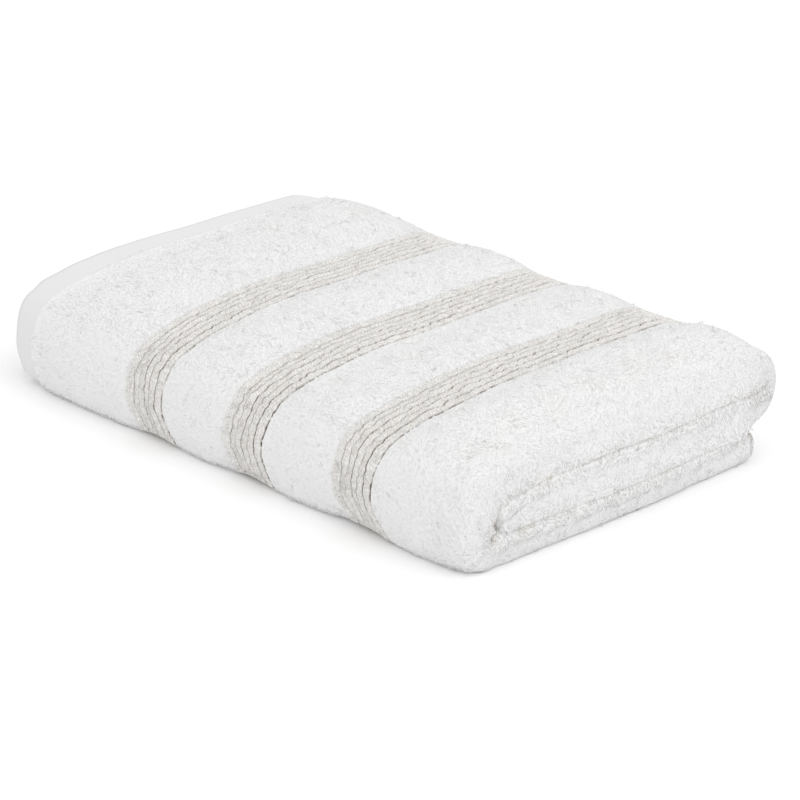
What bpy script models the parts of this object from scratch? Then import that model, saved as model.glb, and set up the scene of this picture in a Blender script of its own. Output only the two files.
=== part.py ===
"""Hand towel of white terry, folded and laid flat: one cloth, 50 x 80 cm.

The cloth is first folded in three along its length. The hemmed end that shows lies at the
far end of the pack, and the other hemmed end is tucked between the two outer layers. The
stack of three layers is then folded in three across its width like a letter: the underside,
round the front, over the top, round the back, and in between the two.

Row frame, in metres: +X runs along the pack to its near end, +Y runs from the front roll to
the back roll, +Z is up, and the origin is at the middle of the bottom.
"""
import math
from collections import namedtuple

import bmesh
import bpy
import numpy as np

MM = 0.001

# The cloth as it is cut, and the pack that it makes
CLOTH_LENGTH = 800.0 * MM
PACK_LENGTH = 279.0 * MM
STACK = 18.0 * MM           # height of the three layers before the stations below press them
PLY = 5.6 * MM              # one layer of terry, with the pile on both faces
PLY_GAP = 0.5 * MM          # room between two layers

# Rolls at the two ends of the stack, along X
NEAR_ROLL = 11.0 * MM       # how far the near end rounds off
FAR_ROLL = 6.5 * MM         # the same for the hidden fold at the far end
ROLL_FULLNESS = 2.6         # 2 is a half ellipse, more is blunter
FAR_SETBACK = 7.0 * MM      # from the tip of the outer hem to the hidden fold
DROOP = 2.6 * MM            # how far the stack thins down at the tip of the outer hem
DROOP_LENGTH = 38.0 * MM
DROOP_POWER = 1.8

# Hems
HEM_WIDTH = 13.0 * MM
HEM_PLY = 2.6 * MM
HEM_SINK = 1.2 * MM         # the flat hem lies this much under the pile

# Woven bands: six cords side by side, in a groove of the pile
CORDS = 6
CORD_PITCH = 4.2 * MM
CORD_CREST = 0.7 * MM       # depth of the crest of a cord under the pile
CORD_VALLEY = 2.2 * MM      # depth of the gap between two cords under the pile
GROOVE_EDGE = 0.5 * MM      # width of the edge where the pile drops into the groove

# One row for each field of pile from the hem to the near end, in millimetres: where it ends,
# counted from the tip of the hem, and how far it puffs up in its middle
Field = namedtuple("Field", "name end puff")
FIELDS = (
    Field("hem side", 76.5, 1.6),
    Field("between the far bands", 140.0, 1.9),
    Field("between the near bands", 203.5, 1.9),
    Field("near side", 268.0, 3.8),
)
PUFF_STEPS = 4

# One row for each station of the fold across the width, in millimetres and degrees. The
# outer face is the one with the visible hem, the inner face lies against the next panel.
# near and far say how much further the two ends of the stack reach there, puff is the
# share of the puffed pile, and strips counts the steps from the station before.
Station = namedtuple("Station", "name outer_y outer_z outer_way inner_y inner_z inner_way "
                                "near far puff strips")
STATIONS = (
    Station("free edge",       158.0,  0.0,  180.0, 157.0, 12.4,  180.0, -4.0, -2.0, 0.0, 0),
    Station("underside",        75.0,  0.0,  180.0,  75.0,  9.9,  180.0,  0.5, -1.0, 0.0, 3),
    Station("front foot",        3.0,  0.0,  180.0,  13.0,  9.9,  180.0,  2.0, -3.0, 0.0, 3),
    Station("front low",        -6.8,  4.6,  115.0,   7.0, 11.4,   95.0,  1.0, -5.0, 0.2, 3),
    Station("front nose",       -8.6, 17.0,   88.0,  11.0, 15.4,   52.0,  0.0, -4.5, 0.6, 4),
    Station("front shoulder",    6.0, 37.8,   20.0,  16.5, 21.6,   38.0,  0.0,  1.5, 0.9, 5),
    Station("tuck mouth",       16.0, 40.4,   11.0,  23.0, 25.6,   14.0,  0.5,  3.5, 1.0, 2),
    Station("top front",        47.0, 44.8,    6.0,  47.0, 28.0,    3.0,  1.0,  4.0, 1.0, 3),
    Station("top middle",      100.0, 47.4,    2.0, 100.0, 28.9,    0.5,  0.0,  1.5, 1.0, 4),
    Station("top back",        150.0, 48.2,    0.0, 150.0, 29.7,    0.0, -1.0,  0.0, 1.0, 4),
    Station("back nose",       171.0, 31.5,  -90.0, 161.0, 29.6,  -90.0, -4.0, -3.0, 0.4, 5),
    Station("back foot",       150.0, 13.1, -180.0, 150.0, 29.1, -180.0, -3.0, -2.0, 0.0, 5),
    Station("tucked panel",     60.0, 10.6, -180.0,  60.0, 27.5, -180.0, -0.5, -1.0, 0.0, 4),
    Station("tucked edge",      16.0, 11.4, -180.0,  17.5, 20.6, -160.0, -1.0, -1.0, 0.0, 3),
)
END_REACH = 55.0 * MM       # the stretch along X over which near and far fade out

# Unevenness of the whole pack: one row for each wave along X, with its length and start in
# millimetres, and the height that it gives the top and the push that it gives the front
Wave = namedtuple("Wave", "length start lift push")
WAVES = (
    Wave(205.0, 72.0, 0.4, 1.0),
    Wave(83.0, 45.0, 0.4, 0.4),
)
WAVE_HEIGHT = 48.0 * MM     # the waves act in full from this height up
WAVE_DEPTH = 60.0 * MM      # how far behind the front they push


def fold_curve(start, start_way, end, end_way, strips):
    """Points after start on a smooth curve between two points with given headings.

    The handles are as long as those of the circular arc with the same chord and turn.
    """
    start, end = np.array(start), np.array(end)
    chord = np.linalg.norm(end - start)
    turn = math.radians(abs(end_way - start_way))
    handle = chord / 3.0
    if turn > 0.01:
        handle = 4.0 / 3.0 * math.tan(turn / 4.0) * chord / (2.0 * math.sin(turn / 2.0))
    ways = [np.array((math.cos(math.radians(way)), math.sin(math.radians(way))))
            for way in (start_way, end_way)]
    corners = (start, start + handle * ways[0], end - handle * ways[1], end)
    share = np.arange(1, strips + 1)[:, None] / strips
    weights = ((1 - share) ** 3, 3 * share * (1 - share) ** 2, 3 * share ** 2 * (1 - share),
               share ** 3)
    return sum(weight * corner for weight, corner in zip(weights, corners))


def across_the_width():
    """The outer and inner faces in the Y-Z plane, and near, far and puff at each strip."""
    first = STATIONS[0]
    outer = [np.array([(first.outer_y, first.outer_z)])]
    inner = [np.array([(first.inner_y, first.inner_z)])]
    ends = [np.array([(first.near, first.far, first.puff)])]
    for before, here in zip(STATIONS, STATIONS[1:]):
        outer.append(fold_curve((before.outer_y, before.outer_z), before.outer_way,
                                (here.outer_y, here.outer_z), here.outer_way, here.strips))
        inner.append(fold_curve((before.inner_y, before.inner_z), before.inner_way,
                                (here.inner_y, here.inner_z), here.inner_way, here.strips))
        share = np.arange(1, here.strips + 1)[:, None] / here.strips
        ease = share * share * (3 - 2 * share)
        ends.append((1 - ease) * (before.near, before.far, before.puff)
                    + ease * (here.near, here.far, here.puff))
    near, far, puff = np.concatenate(ends).T
    return np.concatenate(outer) * MM, np.concatenate(inner) * MM, near * MM, far * MM, puff


def flat(x, depth=0.0, relief=0.0, puff=0.0):
    """One point of the outline: depth is under the outer face of a stack of full height,
    relief is a real height over or under the face, and puff is the swell of the pile."""
    return (x, depth, relief, puff)


def hidden_face(x_start, x_end, depth, steps=5):
    """Evenly spaced points along a face inside the stack, both ends included."""
    return [flat(x, depth) for x in np.linspace(x_start, x_end, steps + 1)]


def roll(x_centre, x_reach, depth_start, depth_end, steps):
    """Half of a blunt ellipse from one depth round its nose to another, both ends left out."""
    angles = np.linspace(0.0, math.pi, steps + 1)[1:-1]
    middle, half = (depth_start + depth_end) / 2, (depth_end - depth_start) / 2
    power = 2.0 / ROLL_FULLNESS
    return [flat(x_centre + x_reach * math.sin(angle) ** power,
                 middle - half * math.copysign(abs(math.cos(angle)) ** power, math.cos(angle)))
            for angle in angles]


def field_of_pile(x_start, x_end, puff):
    """The pile between two grooves, both edges included, swollen as half a sine wave."""
    shares = np.linspace(0.0, 1.0, PUFF_STEPS + 1)
    return [flat(x_start + share * (x_end - x_start), puff=puff * math.sin(math.pi * share))
            for share in shares]


def band_of_cords(x_start):
    """The crests of the six cords and the gaps on both sides of each."""
    points = [flat(x_start, relief=-CORD_VALLEY)]
    for cord in range(CORDS):
        points.append(flat(x_start + (cord + 0.5) * CORD_PITCH, relief=-CORD_CREST))
        points.append(flat(x_start + (cord + 1) * CORD_PITCH, relief=-CORD_VALLEY))
    return points


def outer_face(x_tip):
    """The outer face from the tip of the hem to the near roll."""
    x_hem = x_tip + HEM_WIDTH
    points = [flat(x, relief=-HEM_SINK) for x in (x_tip, (x_tip + x_hem) / 2, x_hem)]
    x_pile = x_hem + GROOVE_EDGE
    for field in FIELDS:
        x_end = x_tip + field.end * MM
        points += field_of_pile(x_pile, x_end, field.puff * MM)
        if field is not FIELDS[-1]:
            points += band_of_cords(x_end + GROOVE_EDGE)
        x_pile = x_end + 2 * GROOVE_EDGE + CORDS * CORD_PITCH
    return points


def along_the_length():
    """The closed outline of the three layers: x, depth, relief and puff of each point."""
    x_tip = -PACK_LENGTH / 2
    x_near = PACK_LENGTH / 2 - NEAR_ROLL
    x_far = x_tip + FAR_SETBACK + FAR_ROLL
    second = PLY + PLY_GAP                      # upper face of the tucked layer
    third = 2 * second                          # upper face of the base layer
    base_ply = STACK - third
    used = PACK_LENGTH + (PACK_LENGTH - FAR_SETBACK)
    x_tuck = x_far + CLOTH_LENGTH - used
    hem_top = second + (PLY - HEM_PLY) / 2

    points = outer_face(x_tip)
    points += roll(x_near, NEAR_ROLL, 0.0, STACK, 8)
    points += hidden_face(x_near, x_far, STACK)
    points += roll(x_far, -FAR_ROLL, STACK, second, 6)
    points += hidden_face(x_far, x_tuck - HEM_WIDTH, second)
    points += [flat(x_tuck, hem_top), flat(x_tuck, hem_top + HEM_PLY)]
    points += hidden_face(x_tuck - HEM_WIDTH, x_far, second + PLY)
    points += roll(x_far, base_ply - FAR_ROLL, second + PLY, third, 2)
    points += hidden_face(x_far, x_near, third)
    points += roll(x_near, NEAR_ROLL - PLY, third, PLY, 4)
    points += hidden_face(x_near, x_tip + HEM_WIDTH, PLY)
    points.append(flat(x_tip, HEM_SINK + HEM_PLY))
    outline = np.array(points)
    outline[:, 1] = thinned(outline[:, 0], outline[:, 1], x_tip)
    return outline


def thinned(x, depth, x_tip):
    """Squeezes the stack towards its inner face near the hem, as a power of the distance."""
    share = np.clip((x_tip + DROOP_LENGTH - x) / DROOP_LENGTH, 0.0, 1.0)
    squeeze = DROOP / STACK * share ** DROOP_POWER
    return STACK - (STACK - depth) * (1.0 - squeeze)


def outward(path):
    """Unit vectors to the left of a path of points, which is the outside of every fold."""
    way = np.gradient(path, axis=0)
    way /= np.linalg.norm(way, axis=1)[:, None]
    return np.stack((-way[:, 1], way[:, 0]), axis=1)


def uneven(points):
    """Gentle waves along X that lift the top and push the front, and leave the floor flat."""
    x, y, z = points.T
    height = np.clip(z / WAVE_HEIGHT, 0.0, 1.0)
    front = np.clip(1.0 - (y - y.min()) / WAVE_DEPTH, 0.0, 1.0)
    lift, push = np.zeros_like(x), np.zeros_like(x)
    for wave in WAVES:
        swing = np.sin(2 * math.pi * (x / MM - wave.start) / wave.length)
        lift += wave.lift * MM * swing * height * (1 - 0.5 * front)
        push += wave.push * MM * swing * front * np.sin(math.pi * height)
    return np.stack((x, y - push, z + lift), axis=1)


def towel_points():
    """All points, one row of the outline for each strip across the width."""
    outer, inner, near, far, puff_share = across_the_width()
    x, depth, relief, puff = along_the_length().T
    share = (depth / STACK)[None, :, None]
    section = (1 - share) * outer[:, None, :] + share * inner[:, None, :]
    height = relief[None, :] + puff[None, :] * puff_share[:, None]
    section = section + height[:, :, None] * outward(outer)[:, None, :]
    near_share = np.clip((x - PACK_LENGTH / 2 + END_REACH) / END_REACH, 0.0, 1.0) ** 2
    far_share = np.clip((END_REACH - x - PACK_LENGTH / 2) / END_REACH, 0.0, 1.0) ** 2
    lengthwise = x[None, :] + near[:, None] * near_share - far[:, None] * far_share
    rows = np.concatenate((lengthwise[:, :, None], section), axis=2)
    return uneven(rows.reshape(-1, 3)).reshape(rows.shape)


def make_towel():
    """One closed solid: the outline carried across the width, with its two cut ends."""
    rows = towel_points()
    strips, ring = rows.shape[:2]
    points = rows.reshape(-1, 3)
    middle = (points.min(axis=0) + points.max(axis=0)) / 2
    points = points - (middle[0], middle[1], 0.0)
    build = bmesh.new()
    verts = [build.verts.new(point) for point in points]
    for strip in range(strips - 1):
        here, there = strip * ring, (strip + 1) * ring
        for k in range(ring):
            k_next = (k + 1) % ring
            build.faces.new((verts[here + k], verts[here + k_next],
                             verts[there + k_next], verts[there + k]))
    build.faces.new(verts[:ring])
    build.faces.new(verts[-ring:])
    bmesh.ops.recalc_face_normals(build, faces=build.faces)
    bmesh.ops.triangulate(build, faces=build.faces)
    mesh = bpy.data.meshes.new("towel")
    build.to_mesh(mesh)
    build.free()
    mesh.shade_smooth()
    mesh.set_sharp_from_angle(angle=math.radians(60.0))
    return mesh


def terry_material():
    """Bleached cotton terry: nearly white and quite matt."""
    material = bpy.data.materials.new("white terry")
    material.use_nodes = True
    shader = material.node_tree.nodes["Principled BSDF"]
    shader.inputs["Base Color"].default_value = (0.86, 0.86, 0.85, 1.0)
    shader.inputs["Roughness"].default_value = 0.95
    shader.inputs["Metallic"].default_value = 0.0
    return material


def main():
    for old in list(bpy.data.objects):
        bpy.data.objects.remove(old, do_unlink=True)
    towel = bpy.data.objects.new("towel", make_towel())
    towel.data.materials.append(terry_material())
    bpy.context.scene.collection.objects.link(towel)


main()
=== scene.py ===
# Hand towel of thick white terry, folded and laid flat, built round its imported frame
import math

import bpy
import numpy as np
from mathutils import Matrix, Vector


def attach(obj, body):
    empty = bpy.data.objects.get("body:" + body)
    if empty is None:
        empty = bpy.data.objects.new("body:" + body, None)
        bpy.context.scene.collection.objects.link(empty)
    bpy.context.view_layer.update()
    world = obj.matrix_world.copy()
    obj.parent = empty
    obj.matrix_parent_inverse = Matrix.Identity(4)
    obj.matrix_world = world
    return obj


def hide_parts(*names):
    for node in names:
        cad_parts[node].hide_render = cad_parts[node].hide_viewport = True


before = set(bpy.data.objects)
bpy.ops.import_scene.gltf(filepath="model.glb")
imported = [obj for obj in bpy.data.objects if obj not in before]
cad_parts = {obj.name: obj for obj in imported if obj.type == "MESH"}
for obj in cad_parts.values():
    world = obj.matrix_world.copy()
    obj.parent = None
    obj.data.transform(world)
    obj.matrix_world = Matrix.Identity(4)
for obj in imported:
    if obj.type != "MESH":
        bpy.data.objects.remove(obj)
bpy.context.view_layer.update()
mm = 0.001

# The cloth and its pack, in millimetres, as the solid has them
cloth = {
    "cutSize": (0.50, 0.80),          # metres, before folding
    "length": 800.0,
    "packLength": 279.0,
    "stack": 18.0,                    # three layers, before the fold table presses them
    "ply": 5.6,
    "gap": 0.5,
    "nearRoll": 11.0,                 # how far each roll stands out at its end
    "farRoll": 6.5,
    "nearFullness": 3.0,              # 2 is an ellipse, more is blunter
    "nearInnerFullness": 6.0,         # the half of the near roll towards the next panel
    "farFullness": 2.6,
    "farSetback": 7.0,                # how far the hidden far fold lies behind the tip of the hem
    "droop": 2.6,                     # how far the stack thins down to that tip, and over what length
    "droopLength": 38.0,
    "droopPower": 1.8,
    "hemWidth": 15.0,
    "hemPly": 2.6,
    "hemSink": 0.7,                   # how deep the hem lies under the tips of the pile
    "endReach": 55.0,                 # how far in from an end the table's near and far are felt
    "middle": (-1.0, 80.593),         # X and Y of the pack's middle, in the sizes below
    "front": -11.36,                  # Y of the foremost place
    "selvedge": 2.8,                  # how far a long edge of the cloth rounds off
}

# Where the fold runs across the width: outer and inner face in Y and Z with their headings,
# how much further the near and far ends reach there, and the share of the puffed pile
foldColumns = ("outerY", "outerZ", "outerWay", "innerY", "innerZ", "innerWay", "near", "far", "puff")
foldRows = {
    "free edge":      (158.0,  0.0,  180.0, 157.0, 12.4,  180.0, -4.0, -2.0, 0.0),
    "underside":      (75.0,   0.0,  180.0,  75.0,  9.9,  180.0,  0.5, -1.0, 0.0),
    "front foot":     (0.8,    0.0,  180.0,  13.0,  9.9,  180.0,  2.0, -8.0, 0.0),
    "front low":      (-6.6,   3.8,  110.0,   7.0, 11.4,   95.0,  1.0, -7.5, 0.2),
    "front nose":     (-8.6,  17.0,   88.0,  11.0, 15.4,   52.0,  0.0, -4.5, 0.6),
    "front shoulder": (6.0,   37.8,   20.0,  16.5, 21.6,   38.0,  0.0,  1.5, 0.9),
    "tuck mouth":     (16.0,  40.4,   11.0,  23.0, 25.6,   14.0,  0.5,  3.5, 1.0),
    "top front":      (47.0,  44.8,    6.0,  47.0, 28.0,    3.0,  1.0,  4.0, 1.0),
    "top middle":     (100.0, 47.4,    2.0, 100.0, 28.9,    0.5,  0.0,  1.5, 1.0),
    "top back":       (150.0, 48.2,    0.0, 150.0, 29.7,    0.0, -1.0,  0.0, 1.0),
    "back nose":      (171.0, 31.5,  -90.0, 161.0, 29.6,  -90.0, -4.0, -3.0, 0.4),
    "back foot":      (150.0, 13.1, -180.0, 150.0, 29.1, -180.0, -3.0, -2.0, 0.0),
    "tucked panel":   (60.0,  10.6, -180.0,  60.0, 27.5, -180.0, -0.5, -1.0, 0.0),
    "tucked edge":    (12.0,  12.2, -180.0,  13.0, 19.6, -150.0,  0.5, -1.0, 0.0),
}

# Long waves along the pack: length and start, lift of the top and push of the front
waves = {
    "long":  {"length": 205.0, "start": 72.0, "lift": 0.4, "push": 1.0},
    "short": {"length": 83.0,  "start": 45.0, "lift": 0.4, "push": 0.4},
}
waveHeight = 48.0         # height where their lift is full
waveDepth = 60.0          # how far back from the front their push reaches
latticeCount = 64         # random numbers each way before a noise repeats
# One seed for each noise and each piece, so that every run gives the same towel
seeds = {"lumps": 20, "swirls": 51, "tufts": 53, "lengths": 54, "pastCords": 55, "hem": 56,
         "paintedWarmShade": 57, "grooveJog": 58, "bands": 100, "piles": 200}


def ease(share):
    # Smoothstep of a share that is cut off at 0 and 1
    share = np.clip(share, 0.0, 1.0)
    return share * share * (3.0 - 2.0 * share)


def smoothNoise(a, b, size, seed):
    # Random numbers from -1 to 1 on a square lattice of that size,
    # blended with smoothstep between its points
    n = latticeCount
    lattice = np.random.default_rng(seed).uniform(-1.0, 1.0, (n, n))
    a, b = np.asarray(a) / size, np.asarray(b) / size
    row, column = np.floor(a).astype(int), np.floor(b).astype(int)
    shareA, shareB = ease(a - row), ease(b - column)
    low = lattice[row % n, column % n] * (1 - shareB) + lattice[row % n, (column + 1) % n] * shareB
    high = (lattice[(row + 1) % n, column % n] * (1 - shareB)
            + lattice[(row + 1) % n, (column + 1) % n] * shareB)
    return low * (1 - shareA) + high * shareA


def unevenness(a, b, sizeAndHeight, seed):
    # The same noise, with its size and height as a pair from a table of values
    size, height = sizeAndHeight
    return height * smoothNoise(a, b, size, seed)


def foldCurve(start, startWay, end, endWay, share):
    # Cubic Bezier between two points with given headings, with the handles
    # of a circular arc of the same chord and turn
    start, end = np.array(start), np.array(end)
    chord, turn = np.linalg.norm(end - start), math.radians(abs(endWay - startWay))
    handle = chord / 3.0
    if turn > 0.01:
        handle = 4.0 / 3.0 * math.tan(turn / 4.0) * chord / (2.0 * math.sin(turn / 2.0))
    leave, arrive = [np.array((math.cos(math.radians(way)), math.sin(math.radians(way))))
                     for way in (startWay, endWay)]
    share = share[:, None]
    return ((1 - share) ** 3 * start + 3 * share * (1 - share) ** 2 * (start + handle * leave)
            + 3 * share ** 2 * (1 - share) * (end - handle * arrive) + share ** 3 * end)


def foldAcross(steps=48):
    # The two faces as curves through the rows of the fold table, against u,
    # the distance along the outer one, and the other columns blended from row to row
    rows = [dict(zip(foldColumns, row)) for row in foldRows.values()]
    share = np.linspace(0.0, 1.0, steps + 1)[1:]
    blend = ease(share)
    table = {}
    for face in ("outer", "inner"):
        y, z, way = face + "Y", face + "Z", face + "Way"
        curve = [[(rows[0][y], rows[0][z])]]
        for before, here in zip(rows, rows[1:]):
            curve.append(foldCurve((before[y], before[z]), before[way],
                                   (here[y], here[z]), here[way], share))
        table[y], table[z] = np.concatenate(curve).T
    for column in ("near", "far", "puff"):
        values = [blend * here[column] + (1 - blend) * before[column]
                  for before, here in zip(rows, rows[1:])]
        table[column] = np.concatenate([[rows[0][column]]] + values)
    outer = np.stack((table["outerY"], table["outerZ"]), axis=1)
    way = np.gradient(outer, axis=0)
    way /= np.linalg.norm(way, axis=1)[:, None]
    table["normalY"], table["normalZ"] = -way[:, 1], way[:, 0]
    table["u"] = np.concatenate(([0.0], np.cumsum(np.linalg.norm(np.diff(outer, axis=0), axis=1))))
    return table, dict(zip(foldRows, table["u"][::steps]))


def layersAlong(steps=96):
    # Front and back face of the cloth as x and depth in the stack, against w, the distance along
    # the front face: the outer layer, the near roll, the base layer, the hidden far fold and the
    # tucked layer. The rolls are half superellipses, and the layers get thin at the two hems
    c = cloth
    tip, near = -c["packLength"] / 2, c["packLength"] / 2 - c["nearRoll"]
    far = tip + c["farSetback"] + c["farRoll"]
    second = c["ply"] + c["gap"]
    third = 2 * second
    tuck = far + c["length"] - (2 * c["packLength"] - c["farSetback"])
    share = np.linspace(0.0, 1.0, steps + 1)
    flat = np.ones_like(share)
    hemOut = np.clip(1 - (near - tip) * share / c["hemWidth"], 0, 1)
    hemIn = np.clip(1 - (tuck - far) * (1 - share) / c["hemWidth"], 0, 1)
    thinBack, thinTuck = c["ply"] - c["hemSink"] - c["hemPly"], (c["ply"] - c["hemPly"]) / 2
    nearFullness = np.where(share > 0.5, c["nearInnerFullness"], c["nearFullness"])

    def roll(x, reach, start, end):
        power = 2 / (nearFullness if reach > 0 else c["farFullness"])
        bluntCos = np.copysign(np.abs(np.cos(math.pi * share)) ** power, 0.5 - share)
        bluntSin = np.sin(math.pi * share).clip(0) ** power
        return x + reach * bluntSin, (start + end) / 2 - (end - start) / 2 * bluntCos

    def joined(parts):
        return np.concatenate([np.array(part)[:, min(k, 1):] for k, part in enumerate(parts)], axis=1)

    front = [(tip + (near - tip) * share, 0 * flat),
             roll(near, c["nearRoll"], 0.0, c["stack"]),
             (near + (far - near) * share, c["stack"] * flat),
             roll(far, -c["farRoll"], c["stack"], second),
             (far + (tuck - far) * share, second + thinTuck * hemIn)]
    back = [(tip + (near - tip) * share, c["ply"] - thinBack * hemOut),
            roll(near, c["nearRoll"] - c["ply"], c["ply"], third),
            (near + (far - near) * share, third * flat),
            roll(far, c["stack"] - third - c["farRoll"], third, second + c["ply"]),
            (far + (tuck - far) * share, second + c["ply"] - thinTuck * hemIn)]
    (frontX, frontDepth), (backX, backDepth) = joined(front), joined(back)
    w = np.concatenate(([0.0], np.cumsum(np.hypot(np.diff(frontX), np.diff(frontDepth)))))
    names = ("hem tip", "near roll", "base layer", "far fold", "tucked layer", "tucked hem")
    return {"w": w, "frontX": frontX, "frontDepth": frontDepth,
            "backX": backX, "backDepth": backDepth}, dict(zip(names, w[::steps]))


across, uAt = foldAcross()
along, wAt = layersAlong()
uEnd, wEnd = across["u"][-1], along["w"][-1]

# The bands of cords and the fields of pile on the outer layer, as w in millimetres from the tip
# of the hem. stray is how far a band strays towards the near end, at these distances from the
# front foot
strayStops = (0, 12, 20, 30, 40, 50, 65, 80, 100, 120, 138, 160, 185, 225)
bands = {
    "far band":    {"end": 102.2, "stray": (8.0, 6.0, 2.6, 1.8, 1.9, 2.4, 0.4,
                                            -0.5, -1.1, -0.8, 0.2, 0.6, 0.9, 1.4)},
    "middle band": {"end": 165.7, "stray": (5.0, 2.0, -1.6, -1.1, 0.0, 0.3, -0.5,
                                            -0.7, -0.7, 0.5, 0.9, 0.3, 0.3, 0.8)},
    "near band":   {"end": 229.2, "stray": (9.0, 6.0, 0.9, 0.0, -0.2, 0.2, -0.2,
                                            -0.2, -0.2, -0.2, 0.0, 0.2, -0.5, 0.0)},
}
bandWidth = 23.4
# The share that a band narrows by down the front, from this far above the foot, over this reach
narrowing = {"share": 0.07, "from": 50.0, "reach": 22.0}
fields = {
    "hem side":               {"start": 15.5,  "end": 78.5,  "puff": 1.6},
    "between the far bands":  {"start": 102.7, "end": 142.0, "puff": 1.9},
    "between the near bands": {"start": 166.2, "end": 205.5, "puff": 1.9},
    "near side":              {"start": 229.7, "end": 268.0, "puff": 3.8},
}


def acrossAt(name, u):
    return np.interp(u, across["u"], across[name])


def alongAt(name, w):
    return np.interp(w, along["w"], along[name])


def puffAt(w, u):
    # Half a sine wave over each field of pile
    height = np.zeros(np.broadcast(w, u).shape)
    for field in fields.values():
        share = (w - field["start"]) / (field["end"] - field["start"])
        inField = (share > 0) & (share < 1)
        height = height + np.where(inField, field["puff"] * np.sin(math.pi * share), 0.0)
    return height * acrossAt("puff", u)


def clothPoint(w, u, face=0.0):
    # A place on the folded cloth in millimetres, w along it and u across it; face is 0 on its front
    # and 1 on its back. The depth in the stack blends the two faces of the fold, the puff lifts
    # the pile off it, the ends reach out by the table and the waves run along the pack
    c = cloth
    x = (1 - face) * alongAt("frontX", w) + face * alongAt("backX", w)
    depth = (1 - face) * alongAt("frontDepth", w) + face * alongAt("backDepth", w)
    tip = -c["packLength"] / 2
    toTip = np.clip((tip + c["droopLength"] - x) / c["droopLength"], 0, 1)
    thin = c["droop"] / c["stack"] * toTip ** c["droopPower"]
    share = 1.0 - (1.0 - depth / c["stack"]) * (1.0 - thin)
    lift = puffAt(w, u) * (1 - face)
    y, z = [(1 - share) * acrossAt("outer" + axis, u) + share * acrossAt("inner" + axis, u)
            + lift * acrossAt("normal" + axis, u) for axis in "YZ"]
    nearShare = np.clip((x + tip + c["endReach"]) / c["endReach"], 0, 1) ** 2
    farShare = np.clip((tip + c["endReach"] - x) / c["endReach"], 0, 1) ** 2
    x = x + acrossAt("near", u) * nearShare - acrossAt("far", u) * farShare
    height = np.clip(z / waveHeight, 0, 1)
    forward = np.clip(1 - (y - c["front"]) / waveDepth, 0, 1)
    for wave in waves.values():
        swing = np.sin(2 * math.pi * (x - wave["start"]) / wave["length"])
        z = z + wave["lift"] * swing * height * (1 - 0.5 * forward)
        y = y - wave["push"] * swing * forward * np.sin(math.pi * height)
    return np.stack(np.broadcast_arrays(x - c["middle"][0], y - c["middle"][1], z), axis=-1)


def rimPoint(w, u):
    # The front face, which past each selvedge goes on in a half circle round the edge of the cloth
    edge, halfTurn = cloth["selvedge"], 3.1
    start, end = np.clip(1 - u / edge, 0, halfTurn), np.clip(1 + (u - uEnd) / edge, 0, halfTurn)
    at = np.where(start > 0, edge - edge * np.sin(start), u)
    at = np.where(end > 0, uEnd - edge + edge * np.sin(end), at)
    middle = clothPoint(w, at, 0.5)
    return middle + (clothPoint(w, at) - middle) * (np.cos(start) * np.cos(end))[..., None]


def clothAxes(w, u, step=0.4, surface=clothPoint):
    # Unit vectors at a place on the front face: out of the cloth, and along w
    alongW = surface(w + step, u) - surface(w - step, u)
    alongU = surface(w, u + step) - surface(w, u - step)
    normal = np.cross(alongW, alongU)
    normal /= np.linalg.norm(normal, axis=-1, keepdims=True) + 1e-9
    alongW /= np.linalg.norm(alongW, axis=-1, keepdims=True) + 1e-9
    return normal, alongW


def bandAlong(band, place, u):
    # w of a distance from the far edge of a band, which strays a little along u
    # and narrows down the front
    up = u - uAt["front foot"]
    narrow = 1 - narrowing["share"] * ease((narrowing["from"] - up) / narrowing["reach"])
    return band["end"] + np.interp(up, strayStops, band["stray"]) - (bandWidth - place) * narrow


def bandPlace(band, w, u):
    # The reverse: distance from the far edge
    far, near = bandAlong(band, 0.0, u), bandAlong(band, bandWidth, u)
    return (w - far) / (near - far) * bandWidth


# What lies on top of the smooth folds, in millimetres
ground = {
    "pileSink": 0.42,           # from the tips of the pile down to the ground weave
    "grooveSink": 2.9,          # and down to the ground under the cords
    "grooveEdge": 0.7,          # how wide the sides of that groove are
    "grooveJog": (3.4, 0.25),   # size and height of the noise that jogs its edges
    "hemEdge": 1.0,             # how wide the step at the inner edge of the hem is
    "lumps": {"broad": (34.0, 0.55), "middling": (13.0, 0.38), "small": (5.5, 0.22)},   # the same
    "bandCalm": 0.45,           # how much flatter the lumps are on a band
    "bandReach": 4.0,           # and how far beside it
    "hemCalm": 0.7,
    "fillStart": 10.0,          # how far along u a fill takes to rise, and to end
    "fillEnd": 4.0,
}

# Where pile fills the folds at the near end and the foot of the front, and where the bands sink
# in at their foot: middle and half width along w, start and end along u, and the height
footFrom, footTo = uAt["front foot"] - 12.0, uAt["front foot"] + 9.0
inRoll = wAt["base layer"] - 4.0
fillColumns = ("w", "wide", "uFrom", "uTo", "lift")
fills = {
    "top of the tucked panel":    (inRoll, 9.0, uAt["back nose"] + 1.0, uEnd, 5.2),
    "bottom of the tucked panel": (wAt["near roll"] + 4.0, 9.0, uAt["back foot"] - 8.0, uEnd, 5.2),
    "inside of the front fold":   (inRoll, 8.0, uAt["front nose"] - 8.0, uAt["front shoulder"], 1.6),
    "under the top panel":        (inRoll, 8.0, uAt["front shoulder"], uAt["back nose"] + 16.0, 3.3),
    "top of the underside":       (inRoll, 8.0, 2.0, uAt["front nose"], 4.4),
    "foot of the near end":       (wAt["near roll"] + 3.0, 9.0, 0.0, uAt["front foot"], 2.6),
    "foot of the front":          (140.0, 500.0, uAt["front foot"] - 8.0, uAt["front foot"] + 7.0, 1.2),
    "foot of the far band":       (97.0, 14.0, footFrom, footTo, -1.5),
    "foot of the middle band":    (154.0, 15.0, footFrom, footTo, -1.5),
    "foot of the near band":      (219.0, 17.0, footFrom, footTo, -1.7),
}
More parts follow.
